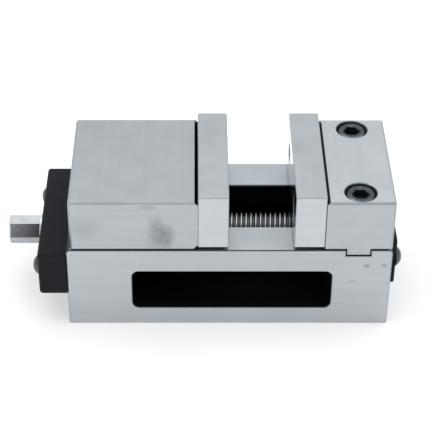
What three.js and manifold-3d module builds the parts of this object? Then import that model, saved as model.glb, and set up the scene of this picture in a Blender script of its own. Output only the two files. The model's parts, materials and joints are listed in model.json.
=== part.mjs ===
// Precision machine vise: a channel-shaped steel bed, a bolted fixed jaw, a sliding movable jaw pulled
// along by a nut on a lead screw, and an end plate at each end that carries the screw.
// Millimetres. X runs from the drive end towards the fixed jaw, Y across the bed, Z up from its underside.
import * as THREE from 'three';
import { mergeVertices } from 'three/addons/utils/BufferGeometryUtils.js';
import Module from 'manifold-3d';

const wasm = await Module();
wasm.setup();

// ---- Driving dimensions -------------------------------------------------------------------------

// Clearances
const seatGap = 0.3;          // between two pieces bolted or resting face to face
const shankPlay = 0.3;        // radial, round a shaft, screw or bush
const slidePlay = 0.4;        // each side of the nut and keel in the slot
const jawLift = 0.4;          // jaw blocks above the bed

// Bed
const bedLength = 215;
const bedWidth = 100;
const bedHeight = 62.5;
const slotWidth = 47.4;       // between the two ways
const floorThickness = 13.9;
const wayDepth = 18;          // way above the window in the front side
const driveEndWall = 43.2;    // from the bed's end to the window
const tailEndWall = 39;
const windowRadius = 4.5;
const grooveDepth = 6;        // groove for the nut's flange, in each way's inner wall
const grooveHeight = 8.6;

// Jaws and their hardened plates
const jawHeight = 37.3;
const jawSideInset = 0.8;     // jaw blocks are this much narrower than the bed on each side
const movableJawLength = 83.8;
const fixedJawLength = 44.5;
const fixedJawSetback = 0.2;  // behind the end of the bed
const restOpening = 43;
const plateThickness = 20;
const plateHeight = 40.3;
const plateLift = 2.1;        // jaw plates above the bed
const tongueWidth = 15.8;     // fixed jaw's tongue across the bed
const tongueDepth = 4.4;
const plateCornerBreak = 2;   // 45 degree break on each jaw's top edge beside its plate

// Lead screw
const screwDrop = 20.3;       // screw axis below the top of the bed
const screwRadius = 12;
const journalStep = 1.5;      // journal radius below the thread's
const journalOverhang = 2.2;  // journal outside the drive end plate
const tailJournalRadius = 8;
const tailEndInset = 0.8;     // screw's tail end inside the tail plate's outer face
const hexAcrossFlats = 17;
const hexLength = 21.4;

// Nut, half ball and set screw
const nutLength = 30;
const nutWallAbove = 4;
const nutWallBelow = 2.2;
const flangeHeight = 8;
const flangeReach = 5.5;
const nutSetback = 5.2;       // nut behind the movable jaw's front
const postLength = 17;
const postWidth = 26;
const postHeight = 21.8;
const postLean = 6.5;         // the post's pulling face leans this far forward over its height
const postPlay = 1;           // round the post in the movable jaw
const postSetback = 4;        // post's rear behind the nut's rear
const halfBallRadius = 6;
const webClearance = 1.5;     // nut above the raised floor at each end

// Keel under the movable jaw
const keelLength = 34;
const keelNutGap = 0.5;       // keel above the nut

// Drive end: plate, bush and thrust bearing
const drivePlateThickness = 18.7;
const driveRim = 2.7;         // plate left above and below the bearing
const thrustWall = 3.5;       // bearing's radial width
const washerThickness = 1;
const cageThickness = 2;
const collarThickness = 7;
const collarPinRadius = 1.5;
const bushWall = 3;
const driveScrewInset = 11.2; // from the side of the bed

// Tail end: plate and flanged bush
const tailPlateThickness = 4.5;
const tailPlateHeight = 37.2;
const tailPlateDrop = 1.6;    // plate's middle below the screw axis
const tailPlateLap = 11.3;    // over each way
const tailPlateRadius = 3.5;
const tailBushFlange = 4;
const tailFlangeWall = 2.5;

// Fasteners: shank radius, head radius, head height, socket across flats, socket depth
const jawBolt = { shank: 6, head: 9, headHeight: 12, socket: 10, socketDepth: 6 };
const plateScrew = { shank: 4, head: 6.5, headHeight: 8, socket: 6, socketDepth: 4 };
const buttonScrew = { shank: 4, head: 7, headHeight: 4.4, socket: 5, socketDepth: 2.6 };
const setScrew = { shank: 5, length: 16, socket: 5, socketDepth: 6 };
const headRecess = 0.9;       // jaw bolt heads below the jaw's top
const jawCounterboreRadius = 10.65;
const headPlay = 0.5;         // radial, round a plate screw's head
const boltGrip = 15.2;        // jaw bolt's thread in the bed
const plateScrewGrip = 12;
const driveScrewGrip = 13.5;
const tailScrewGrip = 12;
const tapRunout = 2;          // tapped hole past its screw's tip
const pinInset = 1;           // collar pin's ends inside the collar
const plateScrewInset = 20;   // from the side of the plate

// ---- Places worked out from them ------------------------------------------------------------------

const driveEnd = -bedLength / 2;
const tailEnd = bedLength / 2;
const screwZ = bedHeight - screwDrop;
const wayUnderside = bedHeight - wayDepth;
const nutBottom = screwZ - screwRadius - nutWallBelow;
const nutTop = screwZ + screwRadius + nutWallAbove;
const keelBottom = nutTop + keelNutGap;
const endFloor = nutBottom - webClearance;
const railCentreY = (slotWidth + bedWidth) / 4;

const jawBottom = bedHeight + jawLift;
const jawTop = jawBottom + jawHeight;
const jawHalfWidth = bedWidth / 2 - jawSideInset;
const fixedJawRear = tailEnd - fixedJawSetback;
const fixedJawFront = fixedJawRear - fixedJawLength;
const fixedJawCentre = (fixedJawRear + fixedJawFront) / 2;
const fixedFace = fixedJawFront - seatGap - plateThickness;
const movableFace = fixedFace - restOpening;
const movableJawFront = movableFace - plateThickness - seatGap;
const movableJawRear = movableJawFront - movableJawLength;
const plateBottom = bedHeight + plateLift;
const plateTop = plateBottom + plateHeight;
const plateCentreZ = (plateBottom + plateTop) / 2;
const plateScrewY = bedWidth / 2 - plateScrewInset;

const nutFront = movableJawFront - nutSetback;
const nutRear = nutFront - nutLength;
const postRear = nutRear + postSetback;
const postFront = postRear + postLength;
const postTop = nutTop + postHeight;
const ballX = postFront + postLean / 2;
const ballZ = nutTop + postHeight / 2;
const faceAngle = Math.atan2(postLean, postHeight);

const journalRadius = screwRadius - journalStep;
const thrustRadius = journalRadius + thrustWall;
const drivePlateInner = driveEnd - seatGap;
const drivePlateOuter = drivePlateInner - drivePlateThickness;
const drivePlateHalf = thrustRadius + shankPlay + driveRim;
const collarInner = drivePlateInner - seatGap;
const collarOuter = collarInner - collarThickness;
const innerWasher = collarOuter - seatGap - washerThickness;
const cageStart = innerWasher - seatGap - cageThickness;
const outerWasher = cageStart - seatGap - washerThickness;
const bearingSeat = outerWasher - seatGap;
const driveScrewY = bedWidth / 2 - driveScrewInset;

const tailPlateInner = tailEnd + seatGap;
const tailPlateOuter = tailPlateInner + tailPlateThickness;
const tailPlateHalfWidth = slotWidth / 2 + tailPlateLap;
const tailScrewY = slotWidth / 2 + tailPlateLap / 2;
const tailFlangeInner = tailPlateInner - seatGap - tailBushFlange;
const tailBushRadius = tailJournalRadius + shankPlay + bushWall;

// ---- Solids ---------------------------------------------------------------------------------------

const over = 1;               // a cut or an added solid runs this far past the face it crosses
const roundSides = 32;
const pinSides = 24;
const cornerSegments = 5;     // to a quarter turn
const domeSegments = 4;
const ballSides = [20, 12];

function solid(geometry) {
  geometry.deleteAttribute('normal');
  geometry.deleteAttribute('uv');
  const merged = mergeVertices(geometry, 1e-5);
  const mesh = new wasm.Mesh({
    numProp: 3,
    vertProperties: new Float32Array(merged.attributes.position.array),
    triVerts: new Uint32Array(merged.index.array),
  });
  return new wasm.Manifold(mesh);
}

function block([x0, x1], [y0, y1], [z0, z1]) {
  const geometry = new THREE.BoxGeometry(x1 - x0, y1 - y0, z1 - z0);
  geometry.translate((x0 + x1) / 2, (y0 + y1) / 2, (z0 + z1) / 2);
  return solid(geometry);
}

// Round or hexagonal bar along X, about the line y, z
function barX(radius, [x0, x1], y, z, sides = roundSides) {
  const geometry = new THREE.CylinderGeometry(radius, radius, x1 - x0, sides);
  geometry.rotateZ(-Math.PI / 2);
  geometry.rotateX(Math.PI / 2);
  geometry.translate((x0 + x1) / 2, y, z);
  return solid(geometry);
}

// Round or hexagonal bar along Z, about the line x, y
function barZ(radius, x, y, [z0, z1], sides = roundSides) {
  const geometry = new THREE.CylinderGeometry(radius, radius, z1 - z0, sides);
  geometry.rotateX(Math.PI / 2);
  geometry.translate(x, y, (z0 + z1) / 2);
  return solid(geometry);
}

function ringX(outerRadius, innerRadius, [x0, x1], y, z) {
  const bore = barX(innerRadius, [x0 - over, x1 + over], y, z);
  return barX(outerRadius, [x0, x1], y, z).subtract(bore);
}

function hexRadius(acrossFlats) {
  return acrossFlats / Math.sqrt(3);
}

// Outline in the XZ plane, given as [x, z] points, made solid across y0 to y1
function prismY(points, [y0, y1]) {
  const shape = new THREE.Shape(points.map(([x, z]) => new THREE.Vector2(x, z)));
  const geometry = new THREE.ExtrudeGeometry(shape, { depth: y1 - y0, bevelEnabled: false });
  geometry.rotateX(Math.PI / 2);
  geometry.translate(0, y1, 0);
  return solid(geometry);
}

function roundedRectangle(halfWidth, halfHeight, radius) {
  const shape = new THREE.Shape();
  const corners = [[1, -1, -90], [1, 1, 0], [-1, 1, 90], [-1, -1, 180]];
  for (const [side, level, startDegrees] of corners) {
    const start = THREE.MathUtils.degToRad(startDegrees);
    const centreX = side * (halfWidth - radius);
    const centreY = level * (halfHeight - radius);
    shape.absarc(centreX, centreY, radius, start, start + Math.PI / 2, false);
  }
  return shape;
}

// Rounded-corner bar along Y
function roundedBarY([x0, x1], [z0, z1], radius, [y0, y1]) {
  const shape = roundedRectangle((x1 - x0) / 2, (z1 - z0) / 2, radius);
  const options = { depth: y1 - y0, bevelEnabled: false, curveSegments: cornerSegments };
  const geometry = new THREE.ExtrudeGeometry(shape, options);
  geometry.rotateX(Math.PI / 2);
  geometry.translate((x0 + x1) / 2, y1, (z0 + z1) / 2);
  return solid(geometry);
}

// Rounded-corner plate facing X
function roundedPlateX([x0, x1], halfWidth, halfHeight, radius, z) {
  const shape = roundedRectangle(halfWidth, halfHeight, radius);
  const options = { depth: x1 - x0, bevelEnabled: false, curveSegments: cornerSegments };
  const geometry = new THREE.ExtrudeGeometry(shape, options);
  geometry.rotateY(Math.PI / 2);
  geometry.rotateX(Math.PI / 2);
  geometry.translate(x0, 0, z);
  return solid(geometry);
}

function both(makeCut) {
  return makeCut(-1).add(makeCut(1));
}

// The two ends of a stretch along X, lower first
function spread(a, b) {
  return [Math.min(a, b), Math.max(a, b)];
}

// ---- Bed ------------------------------------------------------------------------------------------

function viseBody() {
  const halfSlot = slotWidth / 2;
  const windowX = [driveEnd + driveEndWall, tailEnd - tailEndWall];
  const windowZ = [floorThickness, wayUnderside];
  const slot = block([driveEnd - over, tailEnd + over], [-halfSlot, halfSlot], [endFloor, bedHeight + over]);
  const pocket = block(windowX, [-halfSlot, halfSlot], [floorThickness, endFloor + over]);
  const window = roundedBarY(windowX, windowZ, windowRadius, [-bedWidth, -halfSlot + over]);
  const grooveX = [driveEnd - over, windowX[1] - windowRadius];
  const grooveY = [-halfSlot - grooveDepth, halfSlot + grooveDepth];
  const groove = block(grooveX, grooveY, [wayUnderside - grooveHeight, wayUnderside]);
  const tongueHalf = tongueWidth / 2 + shankPlay;
  const crossSlotX = [fixedJawCentre - tongueHalf, fixedJawCentre + tongueHalf];
  const crossSlotZ = [bedHeight - tongueDepth - seatGap, bedHeight + over];
  const crossSlot = block(crossSlotX, [-bedWidth, bedWidth], crossSlotZ);

  const boltBottom = bedHeight - boltGrip - tapRunout;
  const boltHoles = both((side) => barZ(
    jawBolt.shank + shankPlay, fixedJawCentre, side * railCentreY, [boltBottom, bedHeight]));
  const tapRadius = buttonScrew.shank + shankPlay;
  const driveHoles = both((side) => barX(
    tapRadius, [driveEnd - over, driveEnd + driveScrewGrip + tapRunout], side * driveScrewY, screwZ));
  const tailHoles = both((side) => barX(
    tapRadius, [tailEnd - tailScrewGrip - tapRunout, tailEnd + over], side * tailScrewY, screwZ));

  return block([driveEnd, tailEnd], [-bedWidth / 2, bedWidth / 2], [0, bedHeight])
    .subtract(slot).subtract(pocket).subtract(window).subtract(groove).subtract(crossSlot)
    .subtract(boltHoles).subtract(driveHoles).subtract(tailHoles);
}

// ---- Fixed jaw ------------------------------------------------------------------------------------

function fixedJaw() {
  const width = [-jawHalfWidth, jawHalfWidth];
  const tongueX = [fixedJawCentre - tongueWidth / 2, fixedJawCentre + tongueWidth / 2];
  const tongue = block(tongueX, width, [bedHeight - tongueDepth, jawBottom + over]);
  const counterboreFloor = jawTop - headRecess - jawBolt.headHeight - seatGap;
  const shankHoles = both((side) => barZ(
    jawBolt.shank + shankPlay, fixedJawCentre, side * railCentreY, [bedHeight - tongueDepth - over, jawTop]));
  const counterbores = both((side) => barZ(
    jawCounterboreRadius, fixedJawCentre, side * railCentreY, [counterboreFloor, jawTop + over]));
  const plateHoleX = [fixedJawFront - over, fixedJawFront + plateScrewGrip + tapRunout / 2];
  const plateHoles = both((side) => barX(
    plateScrew.shank + shankPlay, plateHoleX, side * plateScrewY, plateCentreZ));
  return block([fixedJawFront, fixedJawRear], width, [jawBottom, jawTop])
    .add(tongue).subtract(shankHoles).subtract(counterbores).subtract(plateHoles)
    .subtract(topBreak(fixedJawFront, 1));
}

// Wedge cut off a jaw's top edge beside its plate; inward is +1 or -1, the way into the jaw from faceX
function topBreak(faceX, inward) {
  const outerX = faceX - inward * over;
  return prismY([
    [faceX + inward * (plateCornerBreak + over), jawTop + over],
    [outerX, jawTop - plateCornerBreak - over],
    [outerX, jawTop + over],
  ], [-bedWidth, bedWidth]);
}

// Jaw plate with its gripping face at faceX; inward is +1 or -1, the way into the jaw behind it
function jawPlate(faceX, inward) {
  const backX = faceX + inward * plateThickness;
  const counterboreEnd = faceX + inward * (plateScrew.headHeight + 2 * seatGap);
  const counterboreX = spread(faceX - inward * over, counterboreEnd);
  const counterbores = both((side) => barX(
    plateScrew.head + headPlay, counterboreX, side * plateScrewY, plateCentreZ));
  const shankHoles = both((side) => barX(
    plateScrew.shank + shankPlay, spread(faceX, backX + inward * over), side * plateScrewY, plateCentreZ));
  return block(spread(faceX, backX), [-bedWidth / 2, bedWidth / 2], [plateBottom, plateTop])
    .subtract(counterbores).subtract(shankHoles);
}

// Cap screw driven along X into a jaw, its head just under the gripping face
function plateCapScrew(faceX, inward, side) {
  const y = side * plateScrewY;
  const headStart = faceX + inward * seatGap;
  const headEnd = headStart + inward * plateScrew.headHeight;
  const tip = faceX + inward * (plateThickness + seatGap + plateScrewGrip);
  const head = barX(plateScrew.head, spread(headStart, headEnd), y, plateCentreZ);
  const shank = barX(plateScrew.shank, spread(headEnd - inward * over, tip), y, plateCentreZ);
  const socketX = spread(headStart - inward * over, headStart + inward * plateScrew.socketDepth);
  const socket = barX(hexRadius(plateScrew.socket), socketX, y, plateCentreZ, 6);
  return head.add(shank).subtract(socket);
}

function fixedJawBolt(side) {
  const y = side * railCentreY;
  const headTop = jawTop - headRecess;
  const headBottom = headTop - jawBolt.headHeight;
  const head = barZ(jawBolt.head, fixedJawCentre, y, [headBottom, headTop]);
  const shank = barZ(jawBolt.shank, fixedJawCentre, y, [bedHeight - boltGrip, headBottom + over]);
  const socketZ = [headTop - jawBolt.socketDepth, headTop + over];
  return head.add(shank).subtract(barZ(hexRadius(jawBolt.socket), fixedJawCentre, y, socketZ, 6));
}

// ---- Movable jaw, nut and half ball -----------------------------------------------------------------

function movableJaw() {
  const keelHalf = slotWidth / 2 - slidePlay;
  const keelX = [movableJawFront - keelLength, movableJawFront];
  const keel = block(keelX, [-keelHalf, keelHalf], [keelBottom, jawBottom + over]);
  const pocketX = [postRear - postPlay, postFront + postLean + postPlay];
  const pocketHalf = postWidth / 2 + postPlay;
  const pocket = block(pocketX, [-pocketHalf, pocketHalf], [keelBottom - over, postTop + postPlay]);
  const socket = ballSolid(halfBallRadius + seatGap);
  const screwHole = barX(setScrew.shank + shankPlay, [movableJawRear - over, postRear], 0, ballZ);
  const plateHoleX = [movableJawFront - plateScrewGrip - tapRunout / 2, movableJawFront + over];
  const plateHoles = both((side) => barX(
    plateScrew.shank + shankPlay, plateHoleX, side * plateScrewY, plateCentreZ));
  const width = [-jawHalfWidth, jawHalfWidth];
  return block([movableJawRear, movableJawFront], width, [jawBottom, jawTop])
    .add(keel).subtract(pocket).subtract(socket).subtract(screwHole).subtract(plateHoles)
    .subtract(topBreak(movableJawFront, -1));
}

function ballSolid(radius) {
  const geometry = new THREE.SphereGeometry(radius, ...ballSides);
  geometry.translate(ballX, 0, ballZ);
  return solid(geometry);
}

// The half ball's flat lies along the post's leaning face, a gap away
function halfBall() {
  const reach = 2 * halfBallRadius;
  const geometry = new THREE.BoxGeometry(reach, 2 * reach, 2 * reach);
  geometry.translate(-reach / 2 + seatGap, 0, 0);
  geometry.rotateY(faceAngle);
  geometry.translate(ballX, 0, ballZ);
  return ballSolid(halfBallRadius).subtract(solid(geometry));
}

function leadNut() {
  const half = slotWidth / 2 - slidePlay;
  const body = block([nutRear, nutFront], [-half, half], [nutBottom, nutTop]);
  const flangeTop = wayUnderside - seatGap;
  const flangeHalf = slotWidth / 2 + flangeReach;
  const flange = block([nutRear, nutFront], [-flangeHalf, flangeHalf], [flangeTop - flangeHeight, flangeTop]);
  const post = prismY([
    [postRear, nutTop - over],
    [postFront, nutTop - over],
    [postFront, nutTop],
    [postFront + postLean, postTop],
    [postRear, postTop],
  ], [-postWidth / 2, postWidth / 2]);
  const bore = barX(screwRadius + shankPlay, [nutRear - over, nutFront + over], 0, screwZ);
  return body.add(flange).add(post).subtract(bore);
}

function nutSetScrew() {
  const tip = postRear - seatGap;
  const rear = tip - setScrew.length;
  const socketX = [rear - over, rear + setScrew.socketDepth];
  return barX(setScrew.shank, [rear, tip], 0, ballZ)
    .subtract(barX(hexRadius(setScrew.socket), socketX, 0, ballZ, 6));
}

// ---- Lead screw ------------------------------------------------------------------------------------

function leadScrew() {
  const journalEnd = drivePlateOuter - journalOverhang;
  const hexX = [journalEnd - hexLength, journalEnd + over];
  const shoulder = tailFlangeInner - seatGap;
  const tailTip = tailPlateOuter - tailEndInset;
  const hex = barX(hexRadius(hexAcrossFlats), hexX, 0, screwZ, 6);
  const journal = barX(journalRadius, [journalEnd, collarInner + over], 0, screwZ);
  const thread = barX(screwRadius, [collarInner + seatGap, shoulder], 0, screwZ);
  const tail = barX(tailJournalRadius, [shoulder - over, tailTip], 0, screwZ);
  const pinHole = crossPin(collarPinRadius + shankPlay, thrustRadius);
  return hex.add(journal).add(thread).add(tail).subtract(pinHole);
}

// Upright round bar through the middle of the collar, reaching as far above and below the screw's axis
function crossPin(radius, reach) {
  return barZ(radius, (collarInner + collarOuter) / 2, 0, [screwZ - reach, screwZ + reach], pinSides);
}

function thrustCollar() {
  return ringX(thrustRadius, journalRadius + shankPlay, [collarOuter, collarInner], 0, screwZ)
    .subtract(crossPin(collarPinRadius + shankPlay, thrustRadius + over));
}

function collarPin() {
  return crossPin(collarPinRadius, thrustRadius - pinInset);
}

function thrustWasher(startX) {
  return ringX(thrustRadius, journalRadius + shankPlay, [startX, startX + washerThickness], 0, screwZ);
}

function thrustCage() {
  return ringX(thrustRadius, journalRadius + shankPlay, [cageStart, cageStart + cageThickness], 0, screwZ);
}

// ---- End plates -------------------------------------------------------------------------------------

function driveEndPlate() {
  const bushRadius = journalRadius + shankPlay + bushWall;
  const bearingBore = barX(thrustRadius + shankPlay, [bearingSeat, drivePlateInner + over], 0, screwZ);
  const bushBore = barX(bushRadius + shankPlay, [drivePlateOuter - over, bearingSeat + over], 0, screwZ);
  const past = [drivePlateOuter - over, drivePlateInner + over];
  const screwHoles = both((side) => barX(
    buttonScrew.shank + shankPlay, past, side * driveScrewY, screwZ));
  const height = [screwZ - drivePlateHalf, screwZ + drivePlateHalf];
  return block([drivePlateOuter, drivePlateInner], [-bedWidth / 2, bedWidth / 2], height)
    .subtract(bearingBore).subtract(bushBore).subtract(screwHoles);
}

function driveBush() {
  const bore = journalRadius + shankPlay;
  return ringX(bore + bushWall, bore, [drivePlateOuter, bearingSeat - seatGap], 0, screwZ);
}

function tailEndPlate() {
  const x = [tailPlateInner, tailPlateOuter];
  const past = [tailPlateInner - over, tailPlateOuter + over];
  const screwHoles = both((side) => barX(
    buttonScrew.shank + shankPlay, past, side * tailScrewY, screwZ));
  return roundedPlateX(x, tailPlateHalfWidth, tailPlateHeight / 2, tailPlateRadius, screwZ - tailPlateDrop)
    .subtract(barX(tailBushRadius + shankPlay, past, 0, screwZ)).subtract(screwHoles);
}

function tailBush() {
  const flange = barX(tailBushRadius + tailFlangeWall, [tailFlangeInner, tailFlangeInner + tailBushFlange],
    0, screwZ);
  const barrel = barX(tailBushRadius, [tailFlangeInner + over, tailPlateOuter - tailEndInset], 0, screwZ);
  const boreX = [tailFlangeInner - over, tailPlateOuter + over];
  const bore = barX(tailJournalRadius + shankPlay, boreX, 0, screwZ);
  return flange.add(barrel).subtract(bore);
}

// Button-head screw along X: outward is -1 at the drive end and +1 at the tail end. Its head is a cap of a
// sphere, flat where the socket opens.
function buttonHeadScrew(seatX, outward, y, length) {
  const { shank, head, headHeight, socket, socketDepth } = buttonScrew;
  const capHeight = headHeight - seatGap;
  const capRadius = (head ** 2 + capHeight ** 2) / (2 * capHeight);
  const rimAngle = Math.asin(head / capRadius);
  const flatAngle = Math.asin((hexRadius(socket) + seatGap) / capRadius);
  const profile = [[0, -length], [shank, -length], [shank, seatGap]];
  for (let step = 0; step <= domeSegments; step += 1) {
    const angle = rimAngle + (flatAngle - rimAngle) * (step / domeSegments);
    profile.push([capRadius * Math.sin(angle), headHeight - capRadius * (1 - Math.cos(angle))]);
  }
  const top = profile[profile.length - 1][1];
  profile.push([0, top]);
  const geometry = new THREE.LatheGeometry(profile.map(([x, y]) => new THREE.Vector2(x, y)), roundSides);
  geometry.rotateZ(-outward * Math.PI / 2);
  geometry.translate(seatX, y, screwZ);
  const headTop = seatX + outward * top;
  const socketX = spread(headTop + outward * over, headTop - outward * socketDepth);
  return solid(geometry).subtract(barX(hexRadius(socket), socketX, y, screwZ, 6));
}

// ---- Assembly ----------------------------------------------------------------------------------------

const finishes = {
  groundSteel: { color: 0xb9bec3, roughness: 0.42, metalness: 0.9 },
  hardenedSteel: { color: 0xc9cdd2, roughness: 0.36, metalness: 0.9 },
  blackOxide: { color: 0x26292e, roughness: 0.55, metalness: 0.5 },
  fastenerSteel: { color: 0x33363b, roughness: 0.45, metalness: 0.7 },
  screwSteel: { color: 0x9ea2a6, roughness: 0.3, metalness: 1 },
  bearingSteel: { color: 0xaab0b5, roughness: 0.25, metalness: 1 },
  bronze: { color: 0x9c7440, roughness: 0.45, metalness: 0.9 },
  castIron: { color: 0x55585c, roughness: 0.7, metalness: 0.6 },
};

const group = new THREE.Group();

function piece(name, shape, finish) {
  const { vertProperties, triVerts } = shape.getMesh();
  const geometry = new THREE.BufferGeometry();
  geometry.setAttribute('position', new THREE.BufferAttribute(vertProperties, 3));
  geometry.setIndex(new THREE.BufferAttribute(triVerts, 1));
  geometry.computeVertexNormals();
  const mesh = new THREE.Mesh(geometry, new THREE.MeshStandardMaterial(finish));
  mesh.name = name;
  group.add(mesh);
}

piece('vise_body', viseBody(), finishes.groundSteel);
piece('fixed_jaw', fixedJaw(), finishes.groundSteel);
piece('fixed_jaw_plate', jawPlate(fixedFace, 1), finishes.hardenedSteel);
piece('movable_jaw', movableJaw(), finishes.groundSteel);
piece('movable_jaw_plate', jawPlate(movableFace, -1), finishes.hardenedSteel);
piece('lead_nut', leadNut(), finishes.castIron);
piece('half_ball', halfBall(), finishes.bearingSteel);
piece('nut_set_screw', nutSetScrew(), finishes.fastenerSteel);
piece('lead_screw', leadScrew(), finishes.screwSteel);
piece('thrust_collar', thrustCollar(), finishes.screwSteel);
piece('collar_pin', collarPin(), finishes.bearingSteel);
piece('thrust_washer_inner', thrustWasher(innerWasher), finishes.bearingSteel);
piece('thrust_needle_cage', thrustCage(), finishes.bearingSteel);
piece('thrust_washer_outer', thrustWasher(outerWasher), finishes.bearingSteel);
piece('drive_end_plate', driveEndPlate(), finishes.blackOxide);
piece('drive_bush', driveBush(), finishes.bronze);
piece('tail_end_plate', tailEndPlate(), finishes.blackOxide);
piece('tail_bush', tailBush(), finishes.bronze);

const driveScrewLength = drivePlateThickness + seatGap + driveScrewGrip;
const tailScrewLength = tailPlateThickness + seatGap + tailScrewGrip;
for (const [place, side] of [['front', -1], ['rear', 1]]) {
  piece(`fixed_jaw_bolt_${place}`, fixedJawBolt(side), finishes.fastenerSteel);
  piece(`fixed_plate_screw_${place}`, plateCapScrew(fixedFace, 1, side), finishes.fastenerSteel);
  piece(`movable_plate_screw_${place}`, plateCapScrew(movableFace, -1, side), finishes.fastenerSteel);
  piece(`drive_plate_screw_${place}`,
    buttonHeadScrew(drivePlateOuter, -1, side * driveScrewY, driveScrewLength), finishes.fastenerSteel);
  piece(`tail_plate_screw_${place}`,
    buttonHeadScrew(tailPlateOuter, 1, side * tailScrewY, tailScrewLength), finishes.fastenerSteel);
}

export default group;
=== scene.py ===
import json
import math

import bmesh
import bpy
from mathutils import Matrix, Vector


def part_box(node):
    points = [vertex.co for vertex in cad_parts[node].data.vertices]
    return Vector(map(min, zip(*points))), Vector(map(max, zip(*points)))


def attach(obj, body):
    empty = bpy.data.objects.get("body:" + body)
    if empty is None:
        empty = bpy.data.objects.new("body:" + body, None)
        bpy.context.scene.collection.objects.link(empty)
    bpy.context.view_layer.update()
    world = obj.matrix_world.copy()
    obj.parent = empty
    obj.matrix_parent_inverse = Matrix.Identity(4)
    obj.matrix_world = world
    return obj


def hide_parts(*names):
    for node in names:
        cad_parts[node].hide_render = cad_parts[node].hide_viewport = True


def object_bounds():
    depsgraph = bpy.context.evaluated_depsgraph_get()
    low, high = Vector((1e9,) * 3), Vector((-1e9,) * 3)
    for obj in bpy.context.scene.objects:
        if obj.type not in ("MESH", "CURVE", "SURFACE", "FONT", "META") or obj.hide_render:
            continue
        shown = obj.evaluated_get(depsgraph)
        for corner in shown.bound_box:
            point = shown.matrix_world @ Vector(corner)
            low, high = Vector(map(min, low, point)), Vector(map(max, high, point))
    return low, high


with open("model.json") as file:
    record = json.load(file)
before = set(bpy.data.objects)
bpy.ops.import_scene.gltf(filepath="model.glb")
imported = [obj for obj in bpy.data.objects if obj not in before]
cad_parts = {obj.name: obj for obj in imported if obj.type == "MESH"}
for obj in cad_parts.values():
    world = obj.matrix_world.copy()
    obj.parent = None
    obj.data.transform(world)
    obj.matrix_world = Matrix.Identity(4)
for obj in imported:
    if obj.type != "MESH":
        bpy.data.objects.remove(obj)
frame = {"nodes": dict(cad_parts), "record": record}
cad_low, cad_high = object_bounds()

# ---- Camera and studio --------------------------------------------------------------------------------
# A long lens looks down on the front of the vise from a little left of its middle. The vise stands on a
# white sheet in a white tent, which is open and darker on the side where the camera stands.

mm = 0.001
look_down = math.radians(36.74)

camera_data = bpy.data.cameras.new("studio_camera")
camera_data.sensor_width = 36
camera_data.lens = 128.86
camera_data.shift_x = 0.0453
camera_data.clip_start = 0.05
camera_data.clip_end = 20
camera = bpy.data.objects.new("studio_camera", camera_data)
camera.location = (-22.1 * mm, -844.4 * mm, 684.6 * mm)
camera.rotation_euler = (math.pi / 2 - look_down, 0, 0)
bpy.context.scene.collection.objects.link(camera)
bpy.context.scene.camera = camera
bpy.context.scene.view_settings.view_transform = "Standard"

tent = bpy.data.worlds.new("white_tent")
tent.use_nodes = True
tent_nodes = tent.node_tree.nodes
tent_nodes["Background"].inputs["Color"].default_value = (0.965, 0.985, 1.0, 1)
direction = tent_nodes.new("ShaderNodeTexCoord")
towards_opening = tent_nodes.new("ShaderNodeVectorMath")
towards_opening.operation = "DOT_PRODUCT"
towards_opening.inputs[1].default_value = (0, -0.98, 0.2)
tent_light = tent_nodes.new("ShaderNodeMapRange")
tent_light.interpolation_type = "SMOOTHSTEP"
for socket, number in (("From Min", 0.86), ("From Max", 0.985), ("To Min", 0.92), ("To Max", 0.12)):
    tent_light.inputs[socket].default_value = number
tent.node_tree.links.new(direction.outputs["Generated"], towards_opening.inputs[0])
tent.node_tree.links.new(towards_opening.outputs["Value"], tent_light.inputs["Value"])
tent.node_tree.links.new(tent_light.outputs["Result"], tent_nodes["Background"].inputs["Strength"])
bpy.context.scene.world = tent


def hang_lamp(name, place, size, watts):
    light = bpy.data.lights.new(name, "AREA")
    light.shape = "RECTANGLE"
    light.size, light.size_y = size
    light.energy = watts
    lamp = bpy.data.objects.new(name, light)
    lamp.location = place
    lamp.rotation_euler = (-Vector(place)).to_track_quat("-Z", "Y").to_euler()
    bpy.context.scene.collection.objects.link(lamp)


hang_lamp("lamp_overhead", (0.1, 0.2, 1.5), (1.4, 1.4), 9)
hang_lamp("lamp_left", (-1.3, -0.4, 0.9), (0.8, 0.8), 4)

sheet_mesh = bmesh.new()
bmesh.ops.create_grid(sheet_mesh, x_segments=2, y_segments=2, size=3)
floor_mesh = bpy.data.meshes.new("studio_floor")
sheet_mesh.to_mesh(floor_mesh)
sheet_mesh.free()
studio_floor = bpy.data.objects.new("studio_floor", floor_mesh)
studio_floor.location = (0, 0, cad_low[2])
bpy.context.scene.collection.objects.link(studio_floor)
paper = bpy.data.materials.new("white_paper")
paper.use_nodes = True
paper_shader = paper.node_tree.nodes["Principled BSDF"]
paper_shader.inputs["Base Color"].default_value = (0.76, 0.765, 0.77, 1)
paper_shader.inputs["Roughness"].default_value = 0.9
paper_shader.inputs["Emission Color"].default_value = (1, 1, 1, 1)
paper_shader.inputs["Emission Strength"].default_value = 0.26
floor_mesh.materials.append(paper)

# ---- Bed ----------------------------------------------------------------------------------------------
# One block of steel milled to a channel, with a window through its front side and a slot across it for the
# fixed jaw. The outside is ground bright; the slot, the pocket and the window are painted near black, and the
# chamfers are painted darker than the faces, as painted shade.


def add_node(tree, kind, **sockets):
    node = tree.nodes.new(kind)
    for socket, value in sockets.items():
        socket = socket.replace("_", " ")
        if isinstance(value, bpy.types.NodeSocket):
            tree.links.new(value, node.inputs[socket])
        else:
            node.inputs[socket].default_value = value
    return node


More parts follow.
